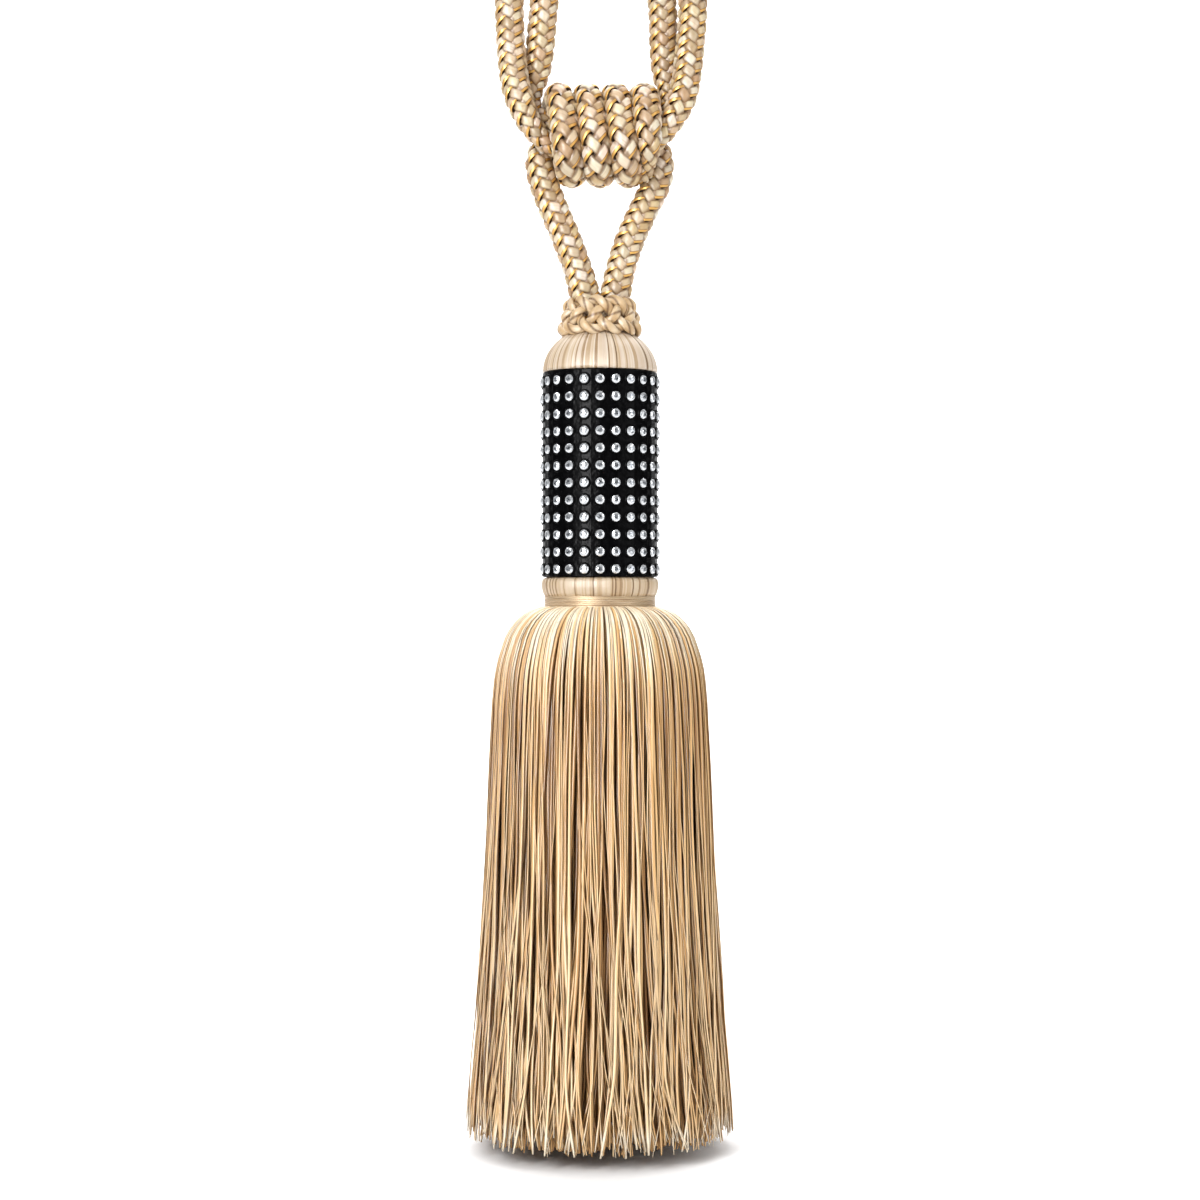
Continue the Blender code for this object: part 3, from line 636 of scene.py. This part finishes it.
def satin_material():
    """Champagne satin thread."""
    material, tree, shader = new_material("satin_binding", {"Roughness": 0.46, "Metallic": 0.4})
    fibres = stretched_noise(tree, attribute(tree, "weave", "Vector"), (1.6, 4.5, 1.6))
    colour = ramp(tree, fibres, (
        (0.3, (0.27, 0.17, 0.09)),
        (0.5, (0.50, 0.38, 0.245)),
        (0.8, (0.65, 0.535, 0.39)),
    ))
    paint(tree, shader, colour)
    bump(tree, shader, fibres, 0.06 * MM, 0.6)
    return material


def fringe_material():
    """Lustrous yarn. The weave attribute holds place round the strand and distance along it in metres.

    Its third value is 0 on the strand's face and 1 at its sides, which are painted darker as shade.
    """
    material, tree, shader, body = yarn_material(
        "fringe_yarn",
        {"Roughness": 0.30, "Specular IOR Level": 0.45},
        tones=(
            (0.0, (0.06, 0.025, 0.007)),
            (0.25, (0.30, 0.145, 0.045)),
            (0.5, (0.60, 0.330, 0.120)),
            (0.75, (0.81, 0.515, 0.230)),
            (0.92, (0.92, 0.670, 0.380)),
            (1.0, (0.96, 0.830, 0.620)),
        ),
        fibre_scale=(1.2, 50.0, 1.0),
        fibre_stain=(0.5, 0.75, 0.3, (0.30, 0.165, 0.065)),
        relief=(0.1 * MM, 0.4),
    )
    side = node(tree, "SeparateXYZ", {0: attribute(tree, "weave", "Vector")}, output=2)
    # Painted shade along each strand's sides.
    paint(tree, shader, stain(tree, body, side, 0.38, 0.95, 0.88, (0.10, 0.040, 0.010)))
    return material


def braid(name, points, lead, material, core_material, facing=FRONT, closed=False):
    """A braided rope of ribbons along points (x, y, z, radius), and the core between them, painted dark as
    shade.

    Facing is the side from which the stitches are laid out: one direction, or one for each point. Returns the
    object and its centreline.
    """
    chance = np.random.default_rng(len(points))
    length = along(points, closed)[-1]
    leads = round(CARRIERS * length / lead) / CARRIERS
    places = evenly(points, round(leads * STEPS_A_LEAD) + 1, closed)
    if facing.ndim > 1:
        given, wanted = (np.linspace(0.0, 1.0, len(rows)) for rows in (facing, places))
        facing = np.stack([np.interp(wanted, given, column) for column in facing.T], axis=1)
    forward, outward, aside = directions(places, facing, closed)
    radius = places[:, 3] + ROPE_SWELL
    turn = np.linspace(0.0, FULL_TURN * leads, len(places))
    slope = np.arctan(radius * FULL_TURN * leads / length)
    half_width = CARRIER_OVERLAP * math.pi * radius / CARRIERS * np.cos(slope)
    across = CARRIER_SECTION[:, 0]
    height = CARRIER_SECTION[:, 1] * MM
    middle = radius - CARRIER_RISE - height.max() + CROWN_REACH
    crossing = turn * CARRIERS / math.pi  # how many other carriers a carrier has passed
    swing = np.cos(math.pi * crossing)
    swing = np.sign(swing) * np.abs(swing) ** STITCH_LENGTH
    run = np.linspace(0.0, length, len(places)) / np.cos(slope)
    lower_edge = np.where(forward[:, 2:] > 0, 1.0, -1.0)
    points_out, weave_out, tone_out, dip_out = [], [], [], []
    for way in (1, -1):
        stitch = np.floor((crossing + (way > 0)) / 2).astype(int)
        out = (middle + CARRIER_RISE * way * swing)[:, None] + height
        for carrier in range(CARRIERS):
            angle = way * turn + FULL_TURN * carrier / CARRIERS - FRONT_COLUMN
            angle = angle[:, None] + across * (half_width * np.cos(slope) / radius)[:, None]
            onward = -way * across * (half_width * np.sin(slope))[:, None]
            ray = off_line(outward, aside, np.cos(angle), np.sin(angle))
            slid = places[:, None, :3] + forward[:, None] * onward[..., None]
            points_out.append(slid + out[..., None] * ray)
            weave_out.append(stacked(across * lower_edge, run[:, None] + carrier, float(way > 0)))
            tones = chance.uniform(*STITCH_TONES, stitch.max() + 1)
            tone_out.append(np.broadcast_to(tones[stitch][:, None], (len(places), len(across))))
            dip_out.append(np.broadcast_to((1 - way * swing)[:, None] / 2, (len(places), len(across))))
    rope = add_mesh(
        name,
        np.stack(points_out),
        grid_quads(len(places), len(across), grids=2 * CARRIERS),
        material,
        {"weave": np.stack(weave_out), "tone": np.stack(tone_out), "dip": np.stack(dip_out)},
    )
    core = tube_points(places[::CORE_STRIDE], outward[::CORE_STRIDE], aside[::CORE_STRIDE])
    join_mesh(rope, core, grid_quads(len(core), CORE_SIDES, around=True), core_material)
    return rope, places[:, :3]


def tube_points(places, outward, aside):
    """The vertices of the round core along a rope's places (x, y, z, radius)."""
    angle = np.linspace(0.0, FULL_TURN, CORE_SIDES, endpoint=False)
    ray = off_line(outward, aside, np.cos(angle), np.sin(angle))
    return places[:, None, :3] + (places[:, 3:] - CORE_DEPTH)[..., None] * ray


def make_ropes():
    """The tieback loop and the hanging loop, and the coil wound round both."""
    rope = rope_material()
    core = shaded_core_material()
    tieback_route = route(TIEBACK_ROUTE, closed=True)
    tieback, tieback_path = braid("tieback_rope", tieback_route, TIEBACK_LEAD, rope, core, closed=True)
    finish_piece(tieback, "tieback_loop")
    hanging_route = route(HANGING_ROUTE)
    hanging, hanging_path = braid("hanging_rope", hanging_route, LEG_LEAD, rope, core)
    finish_piece(hanging, "hanging_loop")
    coil_route, facing = coil_line()
    coil, _ = braid("coiled_rope", coil_route, COIL_LEAD, rope, core, facing=facing)
    finish_piece(coil, "knot_coil")


def coil_line():
    """The coil's centreline and, at each point, the direction away from the strands inside it."""
    angle = np.radians(np.arange(360))
    away = np.stack([-np.sin(angle), -np.cos(angle)], axis=1)
    strand = KNOT_STRANDS[np.argmax(away @ KNOT_STRANDS.T, axis=1)]
    outline = strand + COIL_REACH * away
    outline = np.vstack([outline, outline[:1]])
    run = along(outline)
    rows = []
    for step in range(COIL_RANGE[0], COIL_RANGE[1] + 1):
        turn = step / COIL_STEPS
        depth, drop = (np.interp((turn % 1.0) * run[-1], run, column) for column in outline.T)
        rows.append((COIL_FIRST_TOP + COIL_PITCH * turn, depth, drop, COIL_RADIUS))
    line = route(rows + list(COIL_TAIL))
    centre = KNOT_STRANDS.mean(axis=0)
    facing = line[:, :3] * (0.0, 1.0, 1.0) - np.array([0.0, centre[0] * MM, -centre[1] * MM])
    return line, unit(facing)


def collar_line():
    """The closed line of the collar's cord, at even distances."""
    middle = COLLAR_HEIGHT / 2 - COLLAR_CORD[1]
    rows = []
    for run in range(2 * COLLAR_BIGHTS):
        for phase, swing in COLLAR_CROSSINGS:
            rise = math.radians(180 * run + phase)
            angle = rise * COLLAR_LEADS / COLLAR_BIGHTS
            radius = COLLAR_RADIUS - COLLAR_LEAN * math.cos(rise) + COLLAR_SWING * swing * (-1) ** run
            drop = COLLAR_DROP - middle * math.cos(rise)
            rows.append((radius * math.cos(angle), radius * math.sin(angle), drop, 1.0))
    line = route(rows, closed=True, step=0.2 * MM)
    count = round(along(line, True)[-1] / (COLLAR_STEP * MM)) + 1
    return evenly(line, count, closed=True)


def make_collar():
    """A Turk's head of two-ply cord, flattened where it lies on the head."""
    line = collar_line()
    count = len(line)
    _, outward, aside = directions(line, unit(line[:, :3] * (1.0, 1.0, 0.0)), closed=True)
    angle = np.linspace(0.0, FULL_TURN, COLLAR_SIDES, endpoint=False)
    run = np.linspace(0.0, 1.0, count)[:, None] * round(count * COLLAR_STEP / COLLAR_CORD_LAY)
    ply = np.abs(np.cos(angle - math.pi * run))
    swell = COLLAR_GROOVE + COLLAR_PLY_RISE * np.sqrt(ply)
    width, thickness = COLLAR_CORD
    ray = off_line(outward, aside, thickness * np.cos(angle), width * np.sin(angle))
    points = line[:, None, :3] + ray * swell[..., None] * MM
    places = np.arange(count)[:, None] * COLLAR_STEP * MM
    slanted = places + angle / FULL_TURN * COLLAR_CORD_LAY * MM
    weave = stacked(angle / math.pi, slanted, 0.0)
    first, second = (places * wave for wave in COLLAR_TONE_WAVES)
    tone = COLLAR_TONE + COLLAR_TONE_RANGE * np.sin(first) * np.sin(second + 1)
    attributes = {"weave": weave, "ply": ply, "tone": np.broadcast_to(tone, ply.shape)}
    quads = grid_quads(count, COLLAR_SIDES, around=True)
    collar = add_mesh("collar_knot", points, quads, cord_material(), attributes)
    finish_piece(collar, "collar")


def head_outline():
    """(radius, drop) down the head's outside, in millimetres, with close points where it shows."""
    lowest = math.acos((DOME_FOOT - HEAD_TOP) / DOME_HEIGHT)
    dome = []
    for angle in np.linspace(lowest, math.pi / 2, DOME_STEPS):
        dome.append((HEAD_RADIUS * math.sin(angle), DOME_FOOT - DOME_HEIGHT * math.cos(angle)))
    waist = [(WAIST_RADIUS, WAIST_TOP), (WAIST_RADIUS, WAIST_FOOT)]
    return np.array([(HOLE_RADIUS, HEAD_TOP), *dome, *waist, *ROLL, (HOLE_RADIUS, ROLL[-1][1])])


def yarn_tones(chance, dark_share, stripes=()):
    """A tone for each yarn round the head: pale ones, some darker ones at random, and the given stripes."""
    tones = chance.uniform(*PALE_YARN_TONES, YARNS_ROUND_HEAD)
    dark = chance.random(YARNS_ROUND_HEAD) < dark_share
    tones[dark] = chance.uniform(*DARK_YARN_TONES, dark.sum())
    from_front = 360 * np.arange(YARNS_ROUND_HEAD) / YARNS_ROUND_HEAD + 90
    for place, half_width, tone in stripes:
        away = np.abs((from_front - place + 180) % 360 - 180)
        tones[away <= half_width] = tone
    return tones


def make_head():
    """The wound head: each yarn is a low ridge from the top down to the roll, in a tone of its own."""
    chance = np.random.default_rng(11)
    outline = head_outline()
    columns = YARNS_ROUND_HEAD * YARN_COLUMNS
    angle = np.linspace(0.0, FULL_TURN, columns, endpoint=False)
    ridge = np.abs(np.sin(math.pi * np.arange(columns) / YARN_COLUMNS))
    yarn = np.arange(columns) // YARN_COLUMNS
    rise = (chance.uniform(*YARN_RISES, YARNS_ROUND_HEAD)[yarn] * ridge - 0.5) * YARN_RISE
    radius = outline[:, :1] + rise * np.clip(outline[:, :1] / FULL_RISE_RADIUS, 0, 1)
    points = turned(radius, angle, -outline[:, 1:]) * MM
    dome_tones = yarn_tones(chance, DARK_YARNS["dome"], DOME_STRIPES)
    # Painted shade: the roll's tones are darker, as the roll lies in shade.
    shaded_roll_tones = ROLL_SHADE_TONE + ROLL_SHADE_TONE_RANGE * yarn_tones(chance, DARK_YARNS["roll"])
    tone = np.where(outline[:, 1:] < WAIST_FOOT, dome_tones[yarn], shaded_roll_tones[yarn])
    run = along(outline) * MM
    weave = stacked(yarn * 1.0, run[:, None], 0.0)
    quads = grid_quads(len(outline), columns, around=True)
    head = add_mesh("wound_head", points, quads, head_material(), {"tone": tone, "weave": weave})
    finish_piece(head, "head")


def stone_places():
    """Centres on the sleeve, and the directions out and aside there."""
    azimuth = np.arange(STONE_COLUMNS) * FULL_TURN / STONE_COLUMNS - math.pi / 2
    drop = FIRST_STONE_DROP + STONE_PITCH * np.arange(STONE_ROWS)
    azimuth, drop = (grid.ravel() for grid in np.meshgrid(azimuth, drop))
    outward = turned(1.0, azimuth, 0.0)
    aside = np.cross(UP, outward)
    centres = outward * SLEEVE_RADIUS * MM - np.outer(drop, UP) * MM
    return centres, outward, aside


def on_sleeve(local, centres, outward, aside):
    """Vertices of small forms on the sleeve. Local holds (aside, up, out) in millimetres, form by form."""
    local = local * MM
    return (
        centres[:, None]
        + aside[:, None] * local[..., :1]
        + UP * local[..., 1:2]
        + outward[:, None] * local[..., 2:]
    )


def dress_sleeve():
    """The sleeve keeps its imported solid, in glossy black, and gets a raised rim round each stone."""
    material = sleeve_material()
    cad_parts["sleeve"].material_slots[0].material = material
    centres, outward, aside = stone_places()
    section = np.array(CUP_SECTION)
    angle = np.linspace(0.0, FULL_TURN, CUP_SIDES, endpoint=False)
    cup = turned(section[:, :1], angle, section[:, 1:]).reshape(1, -1, 3)
    points = on_sleeve(cup, centres, outward, aside)
    quads = grid_quads(len(section), CUP_SIDES, around=True, grids=len(centres))
    cups = add_mesh("stone_cups", points, quads, material)
    finish_piece(cups, None)


def stone_form():
    """One faceted stone: its vertices, and its facets as triangles."""
    first_sides = STONE_RINGS[0][2]
    points = [(0.0, 0.0, STONE_RINGS[0][1] + STONE_TIP)]
    rings = []
    for k, (radius, height, sides) in enumerate(STONE_RINGS):
        start = FULL_TURN / (2 * first_sides) * (k % 2)
        rings.append(len(points) + np.arange(sides))
        for angle in start + np.linspace(0.0, FULL_TURN, sides, endpoint=False):
            points.append((radius * math.cos(angle), radius * math.sin(angle), height))
    triangles = [(0, rings[0][i], rings[0][(i + 1) % first_sides]) for i in range(first_sides)]
    for lower, upper in zip(rings[1:], rings):
        share = len(lower) // len(upper)
        for i in range(len(lower)):
            a, b = lower[i], lower[(i + 1) % len(lower)]
            u = upper[(i // share) % len(upper)]
            v = upper[(i // share + 1) % len(upper)]
            triangles.append((a, b, u))
            if share == 1 or i % share == share - 1:
                triangles.append((b, v, u))
    return np.array(points), np.array(triangles)


def make_stones():
    """Each facet has its own flat painted reflection: grey and dark near the middle, bright round the rim."""
    chance = np.random.default_rng(5)
    centres, outward, aside = stone_places()
    form, triangles = stone_form()
    corners = form[triangles]
    away = np.linalg.norm(corners.mean(axis=1)[:, :2], axis=1) / STONE_RADIUS
    painted_shine = np.zeros(len(away))
    for start, brightness in STONE_PAINTED_SHINE:
        painted_shine[away > start] = brightness
    spin = chance.uniform(0.0, FULL_TURN, len(centres))[:, None, None]
    x, y, height = (corners[None, ..., k] for k in range(3))
    local = stacked(x * np.cos(spin) - y * np.sin(spin), x * np.sin(spin) + y * np.cos(spin), height)
    points = on_sleeve(local.reshape(len(centres), -1, 3), centres, outward, aside)
    painted_glint = painted_shine + chance.uniform(*STONE_PAINTED_GLINT, (len(centres), len(painted_shine))) * (away < STONE_RIM)
    facet = np.repeat(np.clip(painted_glint, 0.0, 1.0)[..., None], 3, axis=-1)
    faces = np.arange(facet.size).reshape(-1, 3)
    stones = add_mesh("stones", points, faces, stone_material(), {"facet": facet}, smooth=False)
    finish_piece(stones, None)


def make_binding():
    """Thread wound round the joint between head and skirt."""
    place = np.arange(BINDING_WRAPS * WRAP_STEPS + 1) / WRAP_STEPS
    radius = BINDING_RADIUS + WRAP_RISE * np.abs(np.sin(math.pi * place))
    drop = BINDING_TOP + (BINDING_FOOT - BINDING_TOP) * place / BINDING_WRAPS
    edge = BINDING_RADIUS - BINDING_TUCK
    radius = np.array([edge, *radius, edge])[:, None]
    drop = np.array([BINDING_TOP, *drop, BINDING_FOOT])[:, None]
    angle = np.linspace(0.0, FULL_TURN, BINDING_SIDES, endpoint=False)
    points = turned(radius, angle, -drop) * MM
    weave = stacked(np.sin(angle), drop, np.cos(angle))
    quads = grid_quads(len(drop), BINDING_SIDES, around=True)
    binding = add_mesh("binding_thread", points, quads, satin_material(), {"weave": weave})
    finish_piece(binding, "binding")


def smooth_noise(chance, count, knots, places):
    """For each of count strands, a smooth random line with knots bends, read at places from 0 to 1."""
    values = chance.normal(0.0, 1.0, (count, knots + 3))
    at = places * knots
    low = np.clip(np.floor(at).astype(int), 0, knots - 1)
    t = at - low
    a, b, c, d = (values[:, low + k] for k in range(4))
    return 0.5 * (2 * b + (c - a) * t + (2 * a - 5 * b + 4 * c - d) * t**2 + (3 * b - a - 3 * c + d) * t**3)


def waves(chance, count, rows, places):
    """For each of count strands, the sum of smooth random lines: rows are (bends, size)."""
    return sum(smooth_noise(chance, count, knots, places) * size for knots, size in rows)


def turn_between(start, end):
    """The shorter turn from one angle to another, in radians."""
    return (end - start + math.pi) % FULL_TURN - math.pi


def strand_lines(chance, clumps, layer):
    """Centres of a layer's strands in millimetres, from under the binding to the hem.

    Each hangs along the skirt's outline at its own depth, gathers with its neighbours into clumps on the way
    down, and strays from them again over the lower half. Also returns, at each centre, the distance along the
    strand, the share of the way down the skirt, and the azimuth.
    """
    count = layer.strands
    run = along(SKIRT_OUTLINE)
    line = np.linspace(0.0, 1.0, layer.bends + 1)
    end = run[-1] + chance.uniform(*END_RANGE, (count, 1)) * layer.uneven
    places = line**BEND_CROWDING * end
    share = places / run[-1]
    depth = chance.uniform(*layer.depths, (count, 1))
    radius = np.interp(places, run, SKIRT_OUTLINE[:, 1])
    radius = radius - depth * read_rows(LEAVE_NECK, places) * read_rows(INSIDE, share)
    drop = np.interp(places, run, SKIRT_OUTLINE[:, 0])
    drop = drop + SAG_SHARE * depth * read_rows(SAG_ENDS, places) * read_rows(SAG_STARTS, places)
    order = chance.permutation(count)[:, None]
    azimuth = (order + chance.uniform(-0.5, 0.5, (count, 1))) * FULL_TURN / count
    centre = clumps[np.argmin(np.abs(turn_between(clumps, azimuth)), axis=1)][:, None]
    gather = read_rows(GATHER, share) * chance.uniform(0.0, MOST_GATHER, (count, 1))
    hang = read_rows(HANG, share)
    splay = chance.normal(0.0, 1.0, (count, 1)) * read_rows(SPLAY, share) ** SPLAY_POWER
    sway = waves(chance, count, SWAY_WAVES, line) * hang
    flick = chance.normal(0.0, FLICK_REACH, (count, 1)) * read_rows(FLICK, share) ** FLICK_POWER
    sway = (sway + SPLAY_SHARE * splay) * layer.stray + flick
    azimuth = azimuth + turn_between(azimuth, centre) * gather + sway / np.maximum(radius, LEAST_SWAY_RADIUS)
    lean = waves(chance, count, LEAN_WAVES, line) * hang
    limit = np.interp(drop, SKIRT_OUTLINE[:, 0], SKIRT_OUTLINE[:, 1]) + OUTLINE_ROOM
    radius = np.minimum(radius + lean, limit)
    drop = np.minimum(drop, HEM_DROP + HEM_ROOM)
    return turned(radius, azimuth, -drop), places, share, azimuth


def end_quads(ends, sides):
    """Quads that close open ends. Ends lists the vertices round each end in turn, an even number each."""
    ends = ends.reshape(-1, sides)
    fans = [ends[:, [0, k, k + 1, k + 2]] for k in range(1, sides - 1, 2)]
    return np.vstack(fans)


def strand_faces(layer):
    """Quads round each strand and over its two ends."""
    rings = layer.bends + 1
    corners = np.arange(layer.sides)
    first = np.arange(layer.strands)[:, None] * rings * layer.sides
    ends = np.hstack([first + corners[::-1], first + layer.bends * layer.sides + corners])
    around = grid_quads(rings, layer.sides, around=True, grids=layer.strands)
    return np.vstack([around, end_quads(ends, layer.sides)])


def make_strands(layer, seed, clumps, material):
    """One layer of the skirt, as strands with closed ends."""
    chance = np.random.default_rng(seed)
    count = layer.strands
    centre, places, share, azimuth = strand_lines(chance, clumps, layer)
    forward = unit(np.gradient(centre, axis=1))
    aside = stacked(-np.sin(azimuth), np.cos(azimuth), 0.0)
    aside = unit(aside - forward * np.sum(aside * forward, axis=-1, keepdims=True))
    outward = np.cross(aside, forward)
    line = np.linspace(0.0, 1.0, layer.bends + 1)
    half = chance.uniform(*layer.half_widths, (count, 1)) * (1.0 + waves(chance, count, WIDTH_WAVES, line))
    half[:, -1] *= STRAND_TIP
    half = half * read_rows(FILL_OUT, places) * read_rows(TAPER, share)
    angle = np.arange(layer.sides) * FULL_TURN / layer.sides
    angle = angle + chance.uniform(-STRAND_TURN, STRAND_TURN, (count, 1, 1))
    ray = off_line(outward, aside, STRAND_FLATNESS * np.cos(angle), np.sin(angle))
    points = (centre[:, :, None] + half[..., None, None] * ray) * MM
    # Tone: the layer's range, raised lower down, a painted highlight on the shoulder with painted shade below
    # it, and paler tips.
    tone = np.minimum(chance.uniform(*layer.tones, (count, 1)) + read_rows(LOWER_TONE, share), PALEST_TONE)
    tone = tone + read_rows(SHOULDER_HIGHLIGHT, share) + read_rows(TIP_TONE, share)
    around = angle / 2 + chance.uniform(0, FIBRE_OFFSET, (count, 1, 1))
    weave = stacked(around, places[..., None] * MM, np.abs(np.sin(angle)))
    attributes = {"tone": np.broadcast_to(tone[..., None], points.shape[:3]), "weave": weave}
    return add_mesh(layer.name, points, strand_faces(layer), material, attributes)


def make_skirt():
    """All layers of the skirt. Strands of every layer gather at the same clumps."""
    fringe = fringe_material()
    offset = np.random.default_rng(SKIRT_SEED).uniform(-CLUMP_UNEVENNESS, CLUMP_UNEVENNESS, SKIRT_CLUMPS)
    clumps = (np.arange(SKIRT_CLUMPS) + offset) * FULL_TURN / SKIRT_CLUMPS
    for seed, layer in enumerate(SKIRT_LAYERS, start=SKIRT_SEED + 1):
        strands = make_strands(layer, seed, clumps, fringe)
        finish_piece(strands, "skirt" if layer.name == "skirt_middle" else None)


def make_stage():
    """A pale floor that curves up into a backdrop."""
    turn = np.linspace(0, math.pi / 2, STAGE_STEPS)
    depth = [STAGE_FRONT, *(STAGE_BACK - STAGE_CURVE * (1 - np.sin(turn))), STAGE_BACK]
    height = [0.0, *(STAGE_CURVE * (1 - np.cos(turn))), STAGE_TOP]
    points = []
    for x in (-STAGE_HALF_WIDTH, STAGE_HALF_WIDTH):
        points += [(x, y, z - FLOOR_DROP) for y, z in zip(depth, height)]
    material, tree, shader = new_material("backdrop", {"Roughness": 0.9})
    colour = ramp(tree, grain(tree, 300.0), ((0.3, (0.90, 0.90, 0.905)), (0.7, (0.93, 0.93, 0.935))))
    paint(tree, shader, colour)
    add_mesh("backdrop", points, grid_quads(2, len(depth)), material)


def add_light(name, location, aim, size, power, highlights_only):
    """A soft light that faces a point."""
    data = bpy.data.lights.new(name, "AREA")
    data.shape = "RECTANGLE"
    data.size, data.size_y = size
    data.energy = power
    light = bpy.data.objects.new(name, data)
    light.location = location
    light.visible_diffuse = not highlights_only
    towards = np.array(aim) - np.array(location)
    light.rotation_euler = (
        math.acos(-towards[2] / np.linalg.norm(towards)),
        0.0,
        math.atan2(towards[1], towards[0]) - math.pi / 2,
    )
    bpy.context.scene.collection.objects.link(light)


def make_light():
    """An even white world and the soft lights."""
    world = bpy.data.worlds.new("studio")
    world.use_nodes = True
    background = world.node_tree.nodes["Background"]
    background.inputs["Color"].default_value = (1.0, 1.0, 1.0, 1.0)
    background.inputs["Strength"].default_value = WORLD_BRIGHTNESS
    bpy.context.scene.world = world
    for light in LIGHTS:
        add_light(*light)


def make_camera():
    """The photo's camera, level and straight in front."""
    data = bpy.data.cameras.new("camera")
    data.lens = CAMERA_LENS
    data.sensor_width = CAMERA_SENSOR
    camera = bpy.data.objects.new("camera", data)
    camera.location = (0.0, -CAMERA_DISTANCE, -CAMERA_DROP)
    camera.rotation_euler = (math.pi / 2, 0.0, 0.0)
    bpy.context.scene.collection.objects.link(camera)
    bpy.context.scene.camera = camera


make_camera()
make_ropes()
make_collar()
make_head()
dress_sleeve()
make_stones()
make_binding()
make_skirt()
make_stage()
make_light()
bpy.context.scene.view_settings.view_transform = "Standard"
